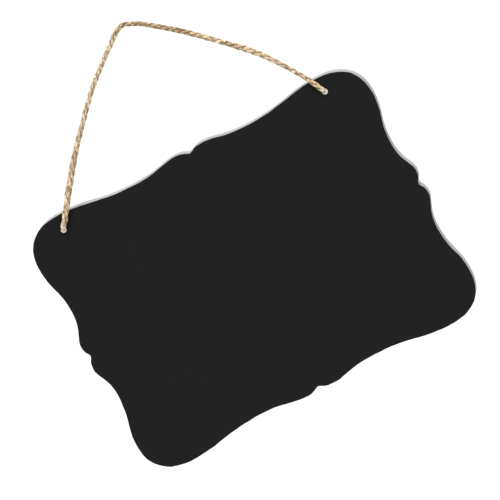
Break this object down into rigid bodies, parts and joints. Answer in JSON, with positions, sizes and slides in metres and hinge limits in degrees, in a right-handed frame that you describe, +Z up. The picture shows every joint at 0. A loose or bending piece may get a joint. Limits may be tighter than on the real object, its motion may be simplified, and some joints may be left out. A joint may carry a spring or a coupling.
{
  "type": "wall chalkboard",
  "caption": "Small bracket-shaped black chalkboard plaque with a pale board core, hung by a jute cord loop through its top corners.",
  "frame": {"origin": "where a nail or hook bears, under the middle of the cord's loop", "axes": "+Z up, +X to the right seen from the front, +Y from the chalkboard face to the back"},
  "size_m": [0.203, 0.0263, 0.2247],
  "materials": {
    "pale_board": "fibreboard with a thin matt pale grey paint",
    "chalkboard_black": "matt black writing surface",
    "jute": "natural three-ply twisted jute"
  },
  "bodies": {
    "cord": {"hanging_cord": "jute"},
    "board": {"board_core": "pale_board", "chalkboard_face": "chalkboard_black", "cord_end_left": "jute", "cord_end_right": "jute"}
  },
  "joints": [
    {"name": "board_swing", "type": "hinge", "parent": "cord", "child": "board", "pos_m": [0, 0, -0.0807], "axis": [-1, 0, 0], "range_deg": [0, 180]}
  ]
}
